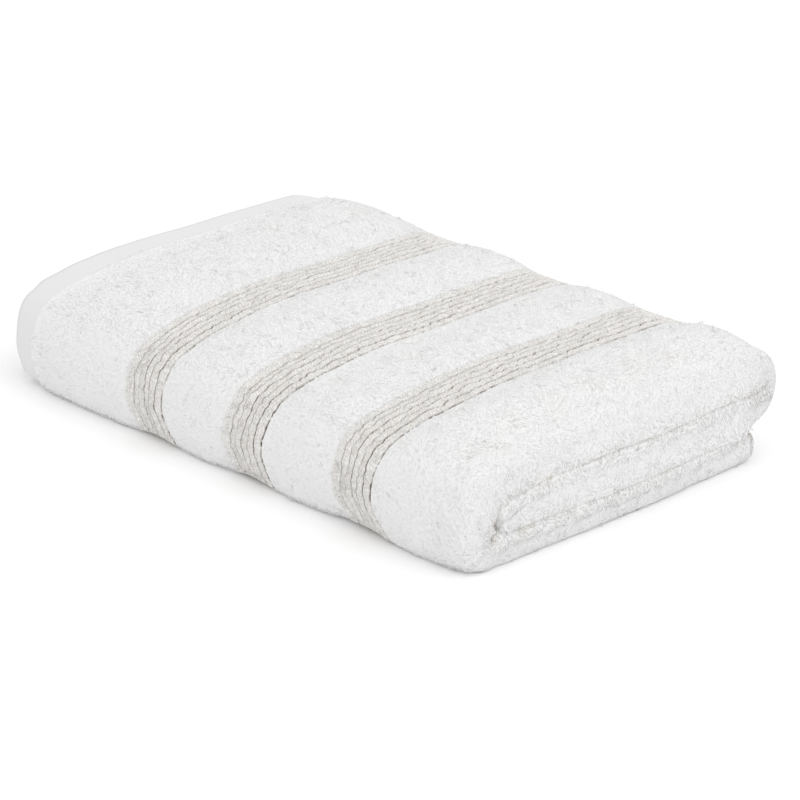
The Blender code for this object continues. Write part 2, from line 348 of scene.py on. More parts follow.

# Creases, listed one by one: centre as w and u from the front foot, half length and half width,
# turn of its length away from w in degrees, and how deep it is
creaseColumns = ("w", "u", "long", "wide", "turn", "depth")
creases = {
    "near the hem band":    (48.0, 190.0, 5.0, 2.0, 20.0, 0.30),
    "on the hem side":      (36.0, 155.0, 4.5, 2.0, -30.0, 0.30),
    "between far, low":     (108.0, 75.0, 4.0, 1.8, 40.0, 0.30),
    "between far, high":    (108.0, 150.0, 4.0, 2.0, -20.0, 0.30),
    "between near, far":    (172.0, 110.0, 5.0, 1.8, 70.0, 0.38),
    "between near, middle": (185.0, 98.0, 5.0, 2.0, 60.0, 0.38),
    "between near, low":    (177.0, 64.0, 4.0, 1.7, 30.0, 0.38),
    "between near, high":   (171.0, 175.0, 5.0, 2.0, 80.0, 0.38),
    "near side, high":      (233.0, 165.0, 4.0, 1.7, 85.0, 0.38),
    "near side, middle":    (234.0, 120.0, 6.0, 1.8, 80.0, 0.38),
    "near side, low":       (233.0, 76.0, 5.0, 1.8, 70.0, 0.38),
    "near side, lowest":    (235.0, 50.0, 4.0, 1.7, 60.0, 0.30),
    "near roll, 1":         (262.0, 167.0, 5.0, 2.2, 60.0, 0.52),
    "near roll, 2":         (256.0, 150.0, 6.0, 2.0, 75.0, 0.45),
    "near roll, 3":         (265.0, 139.0, 4.0, 2.0, 30.0, 0.38),
    "near roll, 4":         (258.0, 124.0, 6.0, 2.2, 70.0, 0.52),
    "near roll, 5":         (259.0, 104.0, 5.0, 2.0, 80.0, 0.45),
    "near roll, 6":         (266.0, 98.0, 4.0, 2.0, 40.0, 0.38),
    "near roll, 7":         (260.0, 80.0, 6.0, 2.2, 65.0, 0.52),
    "near roll, 8":         (268.0, 66.0, 5.0, 2.0, 50.0, 0.38),
    "near roll, 9":         (262.0, 56.0, 4.0, 2.0, 70.0, 0.38),
}


def lumpsAt(w, u):
    # Three sizes of smooth noise, flatter on the bands, and the creases and fills as soft troughs
    # and swellings with a bell-shaped section
    g = ground
    total = 0.0
    for seed, pair in enumerate(g["lumps"].values()):
        total = total + unevenness(w, u, pair, seeds["lumps"] + seed)
    for band in bands.values():
        place = bandPlace(band, w, u)
        inBand = np.minimum(place, bandWidth - place)
        total = total * (1 - g["bandCalm"] * ease((inBand + g["bandReach"]) / g["bandReach"]))
    for row in creases.values():
        c = dict(zip(creaseColumns, row))
        dw, du = w - c["w"], u - uAt["front foot"] - c["u"]
        turn = math.radians(c["turn"])
        a = (dw * math.cos(turn) + du * math.sin(turn)) / c["long"]
        b = (du * math.cos(turn) - dw * math.sin(turn)) / c["wide"]
        total = total - c["depth"] * np.exp(-a * a - b * b)
    for row in fills.values():
        f = dict(zip(fillColumns, row))
        window = ease((u - f["uFrom"]) / g["fillStart"]) * ease((f["uTo"] - u) / g["fillEnd"] + 0.5)
        total = total + f["lift"] * window * np.exp(-((w - f["w"]) / f["wide"]) ** 2)
    return total


# Where two panels meet at the near end, as w with half width: inside the folds all round, and
# outside them from the back foot on, where the tucked panel lies on the underside
meets = {"insideAt": wAt["base layer"] - 5.0, "insideWide": 4.5,
         "outsideAt": wAt["near roll"] + 4.0, "outsideWide": 4.0, "outsideStart": 6.0}
# How much warm shade is painted into the pile's colour, as shares; patches are the size and height of a
# noise
paintedWarmShade = {"creases": 0.35, "meets": 1.1, "patchMiddle": 0.55, "patches": (6.0, 0.9)}
# How far inside the hidden stretches the front face is still dressed, and how far this takes to fade
hiding = {"edges": 4.0, "nearRoll": 2.0, "inside": 6.0, "fade": 8.0}


def meetAt(w, u):
    # 1 where two panels meet at the near end, with a bell-shaped section
    m = meets
    inside = np.exp(-((w - m["insideAt"]) / m["insideWide"]) ** 2)
    outside = np.exp(-((w - m["outsideAt"]) / m["outsideWide"]) ** 2)
    return inside + outside * ease((u - uAt["back foot"]) / m["outsideStart"])


def paintedWarmShadeAt(w, u):
    # How much warm shade is painted into the pile's colour: most in the creases and where two panels
    # meet at the near end, in patches
    total = 0.0
    for row in creases.values():
        c = dict(zip(creaseColumns, row))
        away = np.hypot(w - c["w"], u - uAt["front foot"] - c["u"]) / c["long"]
        total = total + paintedWarmShade["creases"] * c["depth"] * np.exp(-away * away)
    patches = paintedWarmShade["patchMiddle"] + unevenness(w, u, paintedWarmShade["patches"], seeds["paintedWarmShade"])
    return np.clip(total + paintedWarmShade["meets"] * meetAt(w, u) * patches, 0, 1)


def shownShare(w, u):
    # 1 where the front face shows, falling to 0 deep under the pack and inside it
    h = hiding
    inUnder = np.minimum(u, uAt["front foot"] - h["edges"] - u)
    inTucked = u - uAt["back foot"] - h["edges"]
    inEnds = np.minimum(w - h["edges"], wAt["near roll"] - h["nearRoll"] - w)
    inBase = np.minimum(w - wAt["base layer"], wAt["far fold"] - w) - h["inside"]
    hidden = ease(np.minimum(np.maximum(inUnder, inTucked), inEnds) / h["fade"])
    inner, tucked = ease(inBase / h["fade"]), ease((w - wAt["tucked layer"]) / h["fade"])
    return (1 - hidden) * (1 - inner) * (1 - tucked)


def reliefAt(w, u, grooves=1.0):
    # Height of the ground weave over the smooth folds; grooves is 0 to leave out those of the bands
    g = ground
    jog = unevenness(w, u, g["grooveJog"], seeds["grooveJog"])
    hem = 1 - ease((w - cloth["hemWidth"]) / g["hemEdge"])
    sink = -g["pileSink"] * (1 - hem) - cloth["hemSink"] * hem
    for band in bands.values():
        place = bandPlace(band, w, u)
        edge = ease((np.minimum(place, bandWidth - place) + jog) / g["grooveEdge"] + 0.5)
        sink = sink - grooves * (g["grooveSink"] - g["pileSink"]) * edge
    return shownShare(w, u) * (sink + lumpsAt(w, u) * (1 - g["hemCalm"] * hem))


def groundPoint(w, u):
    # The front face with its relief
    normal, _ = clothAxes(w, u)
    return clothPoint(w, u) + reliefAt(w, u)[..., None] * normal


def spread(stops):
    # Evenly spaced places from stop to stop; each row is (end of the stretch, widest step)
    places = [np.array([stops[0][0]])]
    for (start, _), (end, step) in zip(stops, stops[1:]):
        places.append(np.linspace(start, end, max(1, math.ceil((end - start) / step)) + 1)[1:])
    return np.concatenate(places)


def makeMesh(name, points, faces):
    # A smooth shaded mesh; faces is one array for each number of corners, points are millimetres
    mesh = bpy.data.meshes.new(name)
    sizes = np.concatenate([np.full(len(part), part.shape[1]) for part in faces])
    corners = np.concatenate([part.ravel() for part in faces]).astype(np.int32)
    mesh.vertices.add(len(points))
    mesh.vertices.foreach_set("co", (points * mm).astype(np.float32).ravel())
    mesh.loops.add(len(corners))
    mesh.loops.foreach_set("vertex_index", corners)
    mesh.polygons.add(len(sizes))
    mesh.polygons.foreach_set("loop_start", (np.cumsum(sizes) - sizes).astype(np.int32))
    mesh.polygons.foreach_set("use_smooth", np.ones(len(sizes), bool))
    mesh.update(calc_edges=True)
    piece = bpy.data.objects.new(name, mesh)
    bpy.context.scene.collection.objects.link(piece)
    return piece


def rowsAndColumns(alongRows, alongColumns):
    # A (column, row) place for each point of a grid
    return np.stack((np.tile(alongColumns, len(alongRows)),
                     np.repeat(alongRows, len(alongColumns))), axis=-1)


def setMap(piece, name, places):
    # A UV map from one (u, v) place for each vertex
    mesh = piece.data
    corners = np.empty(len(mesh.loops), np.int32)
    mesh.loops.foreach_get("vertex_index", corners)
    layer = mesh.uv_layers.new(name=name, do_init=False)
    layer.uv.foreach_set("vector", places[corners].astype(np.float32).ravel())


def setValue(piece, name, values):
    # A number for each vertex, which the piece's material reads by name
    layer = piece.data.attributes.new(name, "FLOAT", "POINT")
    layer.data.foreach_set("value", np.asarray(values, np.float32).ravel())


def ringFaces(rows, columns):
    # Quads between neighbouring rows of points, each row closed into a ring
    row, column = np.meshgrid(np.arange(rows - 1), np.arange(columns), indexing="ij")
    after = (column + 1) % columns
    return np.stack((row * columns + column, row * columns + after,
                     (row + 1) * columns + after, (row + 1) * columns + column), axis=-1).reshape(-1, 4)


# Step lengths of the sheet in millimetres: fine where it shows, finest at the edges of hem and bands
sheet = {
    "shown": 2.2,
    "edge": 0.26,
    "edgeReach": 0.52,      # how far the finest steps reach to each side of an edge
    "nearRoll": 1.4,
    "farRoll": 1.6,
    "pastNearRoll": 2.5,
    "besideFarRoll": 3.0,
    "hidden": 14.0,
    "panel": 4.0,
    "selvedge": 0.7,
    "backEvery": 4,         # the back face has every fourth column
    "rim": 0.15,            # share of its thickness that the cloth keeps at the selvedges
    "hemEdge": 0.8,         # how wide the change of shade at the edge of the hem is
}


def makeCloth():
    # A grid over w and u: the front face with its relief, and the plain back face on every fourth
    # column, drawn together in a quarter circle at the two selvedges. The columns at the edges of
    # the bands stray with them
    s = sheet
    edges = [cloth["hemWidth"] + s["hemEdge"] / 2]
    for band in bands.values():
        edges += [band["end"] - bandWidth, band["end"]]
    stops = [(0.0, 0)]
    for edge in edges:
        stops += [(edge - s["edgeReach"], s["shown"]), (edge + s["edgeReach"], s["edge"])]
    w = spread(stops + [(wAt["near roll"], s["shown"]), (wAt["base layer"], s["nearRoll"]),
                        (wAt["base layer"] + 14.0, s["pastNearRoll"]),
                        (wAt["far fold"] - 14.0, s["hidden"]), (wAt["far fold"], s["besideFarRoll"]),
                        (wAt["tucked layer"], s["farRoll"]),
                        (wAt["tucked layer"] + 8.0, s["besideFarRoll"]), (wEnd, s["hidden"])])
    extra = -(len(w) - 1) % s["backEvery"]
    w = np.concatenate((w[:-1], np.linspace(w[-2], w[-1], extra + 2)[1:]))
    edge = cloth["selvedge"]
    u = spread([(0.0, 0), (edge, s["selvedge"]), (uAt["front foot"] - 6.0, s["panel"]),
                (uAt["back foot"], s["shown"]), (uEnd - edge, s["panel"]), (uEnd, s["selvedge"])])
    fromEdge = np.clip(np.minimum(u, uEnd - u) / edge, 0, 1)
    swell = s["rim"] + (1 - s["rim"]) * np.sqrt(1 - (1 - fromEdge) ** 2)
    strays = [0 * u] + [bandAlong(band, place, u) - band["end"] + bandWidth - place
                        for band in bands.values() for place in (0.0, bandWidth)] + [0 * u]
    edges.append(wAt["near roll"])
    gridW = np.stack([w + np.interp(w, edges, row) for row in np.array(strays).T])
    gridU = np.broadcast_to(u[:, None], gridW.shape)
    middle = clothPoint(gridW, gridU, 0.5)
    front = middle + (groundPoint(gridW, gridU) - middle) * swell[:, None, None]
    backColumns = w[::s["backEvery"]]
    backU, backW = np.meshgrid(u, backColumns, indexing="ij")
    back = clothPoint(backW, backU, 0.5 + 0.5 * swell[:, None])
    ring = np.concatenate((front, back[:, ::-1]), axis=1)
    rows, columns = ring.shape[:2]
    points = ring.reshape(-1, 3)
    points[:, 2] = np.maximum(points[:, 2], 0.0)
    # The rim of each selvedge is closed with one face for each column of the back
    strip = np.arange(len(backColumns) - 1)
    cap = np.stack([strip * s["backEvery"] + k for k in range(s["backEvery"] + 1)]
                   + [columns - 2 - strip, columns - 1 - strip], axis=-1)
    last = (rows - 1) * columns
    piece = makeMesh("towelCloth", points, [ringFaces(rows, columns), cap[:, ::-1], cap + last])
    whole = np.concatenate((w, backColumns[::-1]))
    setMap(piece, "OFBake", rowsAndColumns(u / uEnd, np.linspace(0.0, 1.0, columns)))
    setMap(piece, "clothPlace", rowsAndColumns(u, whole) * mm)
    hem = 1 - ease((w - cloth["hemWidth"]) / s["hemEdge"])
    setValue(piece, "hemShare", np.tile(np.concatenate((hem, 0 * backColumns)), rows))
    print("towelCloth:", rows, "rows of", columns)
    return piece


# The six cords of a band from its far edge to its near edge, in millimetres.
# A pair is the size and the height of a noise, unless its note says otherwise
cords = {
    "widths": (4.2, 3.1, 3.6, 3.5, 3.8, 5.2),
    "farTuck": 1.0,           # how far the far cord reaches in under the pile
    "gapDepths": (0.45, 1.5, 1.25, 1.7, 1.35, 1.9, 1.45),   # under the tips of the pile
    # How dark the painted shade in each gap is, from the far edge on
    "gapShades": (0.0, 0.7, 0.55, 0.95, 0.6, 1.0, 1.0),
    "gapSwings": (0.5, 1.0, 1.0, 1.0, 1.0, 1.0, 0.8),       # how much each gap bends
    "crests": (0.50, 0.50, 0.45, 0.40, 0.35, 0.25),         # depth of each crest
    "frontShallow": 0.45,     # how much shallower the gaps are down the front
    "frontReach": 12.0,       # how far below the shoulder they are fully so
    "dome": (3.6, 0.7),       # powers of the section: the first makes it flat, the second round
    "across": 9,              # points across a cord, closer together at the gaps
    "step": 0.42,
    "backStep": 1.0,
    "hiddenStep": 6.0,
    "fromSelvedge": 1.0,      # how far from the selvedges the mat ends
    "bend": (9.0, 0.50),      # the slow bends of a gap
    "jog": (2.2, 0.68),       # its irregular jogs
    "sway": (6.0, 0.35),      # what the gaps of a band do together
    "twist": (1.4, 0.22, 2.4),   # pitch of the lumps of a cord, their height and slant
    "twistShift": 0.37,       # how far the lumps of one cord are ahead of those of the next
    "twistDrift": (4.2, 1.5),
    "twistSize": (2.6, 0.4),
    "fuzz": (0.9, 0.12),
    "valleyShade": 0.33,      # how dark the painted shade on the yarn between the lumps is
    "valleyPower": 3,
    "gapBreaks": (1.8, 0.4),  # how uneven the painted shade in the gaps is
    "gapDark": 0.85,
    # The painted shade of a gap on the cords beside it, as shares of their width: as far as this on
    # the far side, from here on the near side, and a little further in down the front
    "farFlank": 0.06,
    "nearFlank": 0.08,
    "nearFrom": (0.87, 0.015),
    "lastFrom": (0.86, 0.04),
    "matSides": (-1.5, 0.6),  # how far the underside of the mat stands out at its two edges
    "matDepth": 3.4,
    "offFloor": 0.05,
}


def makeBand(name, band, seed):
    # A mat of six rounded ridges between seven gaps. The section of a cord is a flattened half
    # circle, each gap line is bent and jogged by two sizes of noise of its own, and slanted uneven
    # lumps run along the cords: a cosine wave whose phase and size are uneven. Multiples of the
    # number of the cord or gap give each of them a noise of its own
    s = cords
    u = spread([(s["fromSelvedge"], 0), (uAt["front foot"] - 8.0, s["hiddenStep"]),
                (uAt["back nose"] + 12.0, s["step"]), (uAt["back foot"] + 4.0, s["backStep"]),
                (uEnd - s["fromSelvedge"], s["hiddenStep"])])
    count = len(s["widths"])
    edges = np.concatenate(([0.0], np.cumsum(s["widths"]))) * bandWidth / sum(s["widths"])
    edges[0] -= s["farTuck"]
    sway = unevenness(u, 0 * u, s["sway"], seed + 5)
    lines = []
    for k, (edge, swing) in enumerate(zip(edges, s["gapSwings"])):
        wobble = (unevenness(u, 0 * u + 11.0 * k, s["bend"], seed)
                  + unevenness(u, 0 * u + 11.0 * k, s["jog"], seed + 1))
        lines.append(edge + swing * wobble + sway)
    lines = np.stack(lines, axis=1)

    # Across the band: which cord each column is on, and its share of the way over it
    share = 0.5 - 0.5 * np.cos(math.pi * np.linspace(0.0, 1.0, s["across"] + 1))
    cord = np.append(np.repeat(np.arange(count), s["across"]), count - 1)
    local = np.append(np.tile(share[:-1], count), 1.0)
    place = lines[:, cord] * (1 - local) + lines[:, cord + 1] * local
    uGrid = np.broadcast_to(u[:, None], place.shape)
    cordAt = np.broadcast_to(cord, place.shape)
    front = ease((uAt["front shoulder"] - uGrid) / s["frontReach"])

    depths, shades = np.array(s["gapDepths"]), np.array(s["gapShades"])
    floor = depths[cord] * (1 - ease(local)) + depths[cord + 1] * ease(local)
    floor = floor * (1 - s["frontShallow"] * front)
    flatness, roundness = s["dome"]
    dome = (1 - np.abs(2 * local - 1) ** flatness) ** roundness
    pitch, height, slant = s["twist"]
    beat = (uGrid / pitch + slant * (local - 0.5) + s["twistShift"] * cordAt
            + unevenness(uGrid, cordAt * 9.0, s["twistDrift"], seed + 6))
    size = 1 + unevenness(uGrid, cordAt * 13.0, s["twistSize"], seed + 7)
    lump = (height * size * np.cos(2 * math.pi * beat)
            + unevenness(uGrid, place, s["fuzz"], seed + 8))
    top = -floor + (floor - np.array(s["crests"])[cord]) * dome + lump * dome

    w = bandAlong(band, place, uGrid)
    normal, _ = clothAxes(w, uGrid)
    lift = top + lumpsAt(w, uGrid) * shownShare(w, uGrid)
    surface = clothPoint(w, uGrid) + lift[..., None] * normal
    under = np.stack([clothPoint(w[:, k] + side, u) - s["matDepth"] * normal[:, k]
                      for k, side in zip((0, -1), s["matSides"])], axis=1)
    ring = np.concatenate((surface, under[:, ::-1]), axis=1)
    rows, columns = ring.shape[:2]
    points = ring.reshape(-1, 3)
    points[:, 2] = np.maximum(points[:, 2], s["offFloor"])
    caps = np.array([np.arange(columns)[::-1], np.arange(columns) + (rows - 1) * columns])
    piece = makeMesh(name, points, [ringFaces(rows, columns), caps])
    margin = 1.0
    ringPlace = np.concatenate((place.mean(axis=0), [bandWidth + margin, -margin]))
    setMap(piece, "OFBake",
           rowsAndColumns(u / uEnd, (ringPlace + margin) / (bandWidth + 2 * margin)))
    setMap(piece, "cordPlace", rowsAndColumns(u, ringPlace) * mm)

    # Painted shade: how dark the colour is made in the gaps and on the yarn between the lumps
    breaks = s["gapDark"] + unevenness(uGrid, cordAt * 17.0 + np.round(local) * 17.0,
                                       s["gapBreaks"], seed + 9)
    nearFrom = [start + shift * front for start, shift in (s["lastFrom"], s["nearFrom"])]
    nearFrom = np.where(cord == count - 1, *nearFrom)
    farFlank = np.clip(1 - local / s["farFlank"], 0, 1)
    nearFlank = np.clip((local - nearFrom) / s["nearFlank"], 0, 1)
    gap = np.clip((farFlank * shades[cord] + nearFlank * shades[cord + 1]) * breaks, 0, 1)
    # Painted shade on the yarn between the lumps of the twist, darkest in the middle of each valley
    valleyShadeShare = (0.5 - 0.5 * np.cos(2 * math.pi * beat)) ** s["valleyPower"]
    valleyShadeShare = np.clip(s["valleyShade"] * valleyShadeShare * size, 0, 1)
    for key, values in (("paintedGapShade", gap), ("paintedValleyShade", valleyShadeShare)):
        setValue(piece, key, np.concatenate((values, np.ones((rows, 2))), axis=1))
    print(name + ":", rows, "rows of", columns)
    return piece


# The loops of the pile, in millimetres. Pairs named for a noise are its size and height,
# the pairs of shares are the least and the most that single loops get
loops = {
    "pitch": 0.94,
    "scatter": 0.45,          # how far a loop is off its place, as a share of the pitch
    "length": 2.9,
    "radius": 0.38,
    "rise": 0.25,             # how far the middle of a loop stands over its ends
    "lengthShares": (0.75, 1.2),
    "radiusShares": (0.75, 1.2),
    "riseShares": (0.6, 1.35),
    "lengthNoise": (6.0, 0.12),
    "curl": 1.1,              # the most it bows to either side, in quarters of its length
    "sink": 0.26,             # how deep its ends lie in the ground weave
    "sides": 3,
    "shownFrom": 0.35,        # no pile where less than this shows
    "hemNoise": (3.5, 1.6),   # how loose the edge of the pile is at the hem
    "hemRise": 0.4,           # share of the rise there
    "hemRamp": 12.0,          # how far from the hem the loops rise to their full height
    "strayShare": 0.012,      # loops that stand up out of the rest
    "strayRise": 1.5,
    "strayShares": (0.6, 1.2),
    "strayRadius": 0.6,
    "meetRise": 0.5,          # how much higher loops stand where two panels meet
    "meetShares": (0.2, 1),
    "swirls": ((30.0, 2.6), (9.0, 1.4)),   # noises that turn the loops, with heights in radians
    "tousle": 0.35,           # how much single loops turn out of the swirl, in radians
    "tufts": (4.2, 2.4),      # size of the noise that gathers loops into tufts, and its pull
    "tuftStep": 0.4,
    "overCords": 2.6,         # how far the pile spills over the far cord of a band
    "pastCords": 0.35,        # how far past the near edge of a band it starts again
    "pastNoise": (3.0, 0.4),
    "besideReach": 1.5,       # how far beside a band the loops are turned to run along it
    "besideCalm": 0.85,
    "besideTurn": 0.5,
    "frontCalm": 0.35,        # how much shorter the loops are down the front
    "frontReach": 12.0,
    "endCalm": 0.2,           # and at the near end
    "endFrom": 8.0,
    "endReach": 14.0,
    "offFloor": 0.1,
}
# Where the pile is combed one way: w and u from the front foot, reach,
# and how much of it leans along w and u
combedColumns = ("w", "u", "reach", "alongW", "alongU")
combed = {
    "near front corner": (264.0, 26.0, 26.0, 0.2, -2.2),
    "front side":        (130.0, 22.0, 60.0, 0.1, -0.5),
}
# The fields of pile: where each starts and ends, its pitch as a share of the usual one,
# and whether it also stands where the face is hidden
shownFrom, shownTo = uAt["front foot"] - 10.0, uAt["back foot"] + 8.0
rimFrom, rimTo = -4.0, uEnd + 4.0
pileColumns = ("wFrom", "wTo", "uFrom", "uTo", "pitch", "hidden")
pileFields = {
    "pile-hem-side":           (15.0, 92.0, shownFrom, shownTo, 1.0, False),
    "pile-between-far-bands":  (100.0, 153.0, shownFrom, shownTo, 1.0, False),
    "pile-between-near-bands": (163.0, 217.0, shownFrom, shownTo, 1.0, False),
    "pile-near-side":          (227.0, wAt["near roll"], shownFrom, shownTo, 1.0, False),
    "pile-near-end":           (wAt["near roll"], wAt["base layer"] + 8.0, rimFrom, rimTo,
                                1.0, False),
    "pile-far-end":            (wAt["far fold"] - 8.0, wAt["tucked layer"] + 4.0, rimFrom, rimTo,
                                1.15, False),
    "pile-back-edge":          (16.0, wEnd - 16.0, rimFrom, 5.5, 1.6, True),
}


def scatteredPlaces(field, rng):
    # Where the loops of a field stand: a staggered square grid, each place a little off, without
    # the hem, the bands and what is hidden
    s = loops
    step = s["pitch"] * field["pitch"]
    gridW, gridU = np.meshgrid(np.arange(field["wFrom"], field["wTo"], step),
                               np.arange(field["uFrom"], field["uTo"], step), indexing="ij")
    gridU = gridU + step / 2 * (np.arange(len(gridW))[:, None] % 2)
    w = (gridW + rng.uniform(-s["scatter"], s["scatter"], gridW.shape) * step).ravel()
    u = (gridU + rng.uniform(-s["scatter"], s["scatter"], gridU.shape) * step).ravel()
    keep = (shownShare(w, u) > s["shownFrom"]) | field["hidden"]
    keep &= w > cloth["hemWidth"] + unevenness(w, u, s["hemNoise"], seeds["hem"])
    over = s["overCords"] * rng.uniform(0, 1, len(w)) ** 2
    nearEdge = bandWidth + s["pastCords"] + unevenness(w, u, s["pastNoise"], seeds["pastCords"])
    for band in bands.values():
        place = bandPlace(band, w, u)
        keep &= ~((place > over) & (place < nearEdge) & (w < wAt["near roll"]))
    return w[keep], u[keep]


def leanAt(w, u, rng):
    # Which way each loop lies, as shares along w and u: along a swirling field, towards the ridges
    # of a small noise, which gathers loops into tufts, combed in places and turned beside the bands
    s = loops
    swirl = sum(unevenness(w, u, pair, seeds["swirls"] + k) for k, pair in enumerate(s["swirls"]))
    way = swirl + rng.normal(0.0, s["tousle"], len(w))
    lean = np.stack((np.cos(way), np.sin(way)), axis=1)
    (size, pull), d, seed = s["tufts"], s["tuftStep"], seeds["tufts"]
    slope = np.stack((smoothNoise(w + d, u, size, seed) - smoothNoise(w - d, u, size, seed),
                      smoothNoise(w, u + d, size, seed) - smoothNoise(w, u - d, size, seed)), axis=1)
    lean = lean + pull * slope
    for row in combed.values():
        c = dict(zip(combedColumns, row))
        away = (w - c["w"]) ** 2 + (u - uAt["front foot"] - c["u"]) ** 2
        lean = lean + np.exp(-away / c["reach"] ** 2)[:, None] * (c["alongW"], c["alongU"])
    reach = s["besideReach"]
    for band in bands.values():
        beside = bandPlace(band, w, u) - bandWidth
        close = ((beside > 0) & (w < wAt["near roll"])) * (1 - ease((beside - reach) / reach))
        lean[:, 0] *= 1 - s["besideCalm"] * close
        lean[:, 1] += np.where(lean[:, 1] < 0, -s["besideTurn"], s["besideTurn"]) * close
    return lean / np.linalg.norm(lean, axis=1)[:, None]


def makePile(name, field, seed):
    # Closed three-sided spindles, one for each loop: both ends lie in the ground weave, and
    # between them a ring of three points stands out of it and to one side
    s, f = loops, dict(zip(pileColumns, field))
    rng = np.random.default_rng(seed)
    w, u = scatteredPlaces(f, rng)
    normal, alongW = clothAxes(w, u, surface=rimPoint)
    onFace = ease(np.minimum(u, uEnd - u) / cloth["selvedge"])
    root = rimPoint(w, u) + (reliefAt(w, u, 0.0) * onFace)[:, None] * normal
    lean = leanAt(w, u, rng)
    out = lean[:, :1] * alongW + lean[:, 1:] * np.cross(normal, alongW)
    side = np.cross(normal, out)

    calm = 1 - (s["frontCalm"] * ease((uAt["front shoulder"] - u) / s["frontReach"])
                * ease((wAt["near roll"] - w) / s["frontReach"]))
    calm = calm * (1 - s["endCalm"] * ease((w - wAt["near roll"] + s["endFrom"]) / s["endReach"]))
    length = s["length"] * rng.uniform(*s["lengthShares"], len(w)) * calm
    length = length * (1 + unevenness(w, u, s["lengthNoise"], seeds["lengths"]))
    radius = s["radius"] * rng.uniform(*s["radiusShares"], len(w))
    rise = s["rise"] * rng.uniform(*s["riseShares"], len(w)) * np.sqrt(calm)
    fromHem = ease((w - cloth["hemWidth"]) / s["hemRamp"])
    rise = rise * (s["hemRise"] + (1 - s["hemRise"]) * fromHem)
    rise = rise + s["meetRise"] * meetAt(w, u) * rng.uniform(*s["meetShares"], len(w))
    stray = rng.uniform(0, 1, len(w)) < s["strayShare"]
    rise = np.where(stray, s["strayRise"] * rng.uniform(*s["strayShares"], len(w)), rise)
    radius = np.where(stray, s["strayRadius"], 1.0) * radius
    curl = rng.uniform(-s["curl"], s["curl"], len(w)) * length
    spin = rng.uniform(0, 2 * math.pi, len(w))

    sides = s["sides"]
    low, high = [root - s["sink"] * normal + (half * length)[:, None] * out for half in (-0.5, 0.5)]
    middle = root + (rise - s["sink"])[:, None] * normal + (curl / 4)[:, None] * side
    ring = []
    for k in range(sides):
        angle = spin + 2 * math.pi * k / sides
        ring.append(middle + (radius * np.cos(angle))[:, None] * normal
                    + (radius * np.sin(angle))[:, None] * side)
    points = np.stack([low] + ring + [high], axis=1)
    count, corners = points.shape[:2]
    here, after = 1 + np.arange(sides), 1 + (np.arange(sides) + 1) % sides
    faces = np.concatenate((np.stack((0 * here, here, after), axis=1),
                            np.stack((0 * here + corners - 1, after, here), axis=1)))
    first = (np.arange(count) * corners)[:, None, None]
    points = points.reshape(-1, 3)
    points[:, 2] = np.maximum(points[:, 2], s["offFloor"])
    piece = makeMesh(name, points, [(first + faces).reshape(-1, 3)])

    # On the map a loop is a line along its lean, two millimetres long
    offset, margin = np.array([-1.0] + [0.0] * sides + [1.0])[None, :], 3.0
    places = np.stack((w[:, None] + offset * lean[:, :1], u[:, None] + offset * lean[:, 1:]), axis=-1)
    mapFrom = np.array((f["wFrom"], f["uFrom"])) - margin
    mapTo = np.array((f["wTo"], f["uTo"])) + margin
    setMap(piece, "OFBake", ((places - mapFrom) / (mapTo - mapFrom)).reshape(-1, 2))
    setValue(piece, "paintedWarmShadeShare", np.repeat(paintedWarmShadeAt(w, u), corners))
    print(name + ":", count, "loops")
    return piece


def linear(hexColour):
    # sRGB hex to linear light
    parts = [int(hexColour[k:k + 2], 16) / 255 for k in (1, 3, 5)]
    return [p / 12.92 if p <= 0.04045 else ((p + 0.055) / 1.055) ** 2.4 for p in parts] + [1.0]


def addNode(material, kind, settings=(), links=()):
    # A node with its properties and plain sockets set; links pairs a socket with the output
    # that feeds it
    node = material.node_tree.nodes.new(kind)
    for key, value in dict(settings).items():
        if isinstance(key, str) and hasattr(node, key):
            setattr(node, key, value)
        else:
            node.inputs[key].default_value = value
    for key, output in dict(links).items():
        material.node_tree.links.new(output, node.inputs[key])
    return node


def newMaterial(name, **sockets):
    material = bpy.data.materials.new(name)
    material.use_nodes = True
    shader = material.node_tree.nodes["Principled BSDF"]
    for key, value in sockets.items():
        shader.inputs[key].default_value = value
    return material, shader


def terryLoops():
    # Bleached cotton terry: matt looped yarn that gives soft light all round, a shade greyer in
    # patches about 18 mm wide, with warm shade painted into its colour down in the creases
    material, shader = newMaterial("cottonTerryLoops", Roughness=0.92)
    shader.inputs["Sheen Weight"].default_value = 0.15
    shader.inputs["Sheen Roughness"].default_value = 0.6
    place = addNode(material, "ShaderNodeTexCoord").outputs["Object"]
    patches = addNode(material, "ShaderNodeTexNoise", {"Scale": 55.0, "Detail": 3.0}, {"Vector": place})
    colour = addNode(material, "ShaderNodeMix",
                     {"data_type": "RGBA", 6: linear("#efefef"), 7: linear("#ededed")},
                     {0: patches.outputs[0]})
    # Painted warm shade: the colour is darkened and warmed in the creases and where two panels meet at
    # the near end
    warmShadeFac = addNode(material, "ShaderNodeAttribute", {"attribute_name": "paintedWarmShadeShare"}).outputs["Fac"]
    shaded = addNode(material, "ShaderNodeMix", {"data_type": "RGBA", 7: linear("#ddd2bd")},
                     {0: warmShadeFac, 6: colour.outputs[2]})
    material.node_tree.links.new(shaded.outputs[2], shader.inputs["Base Color"])
    return material


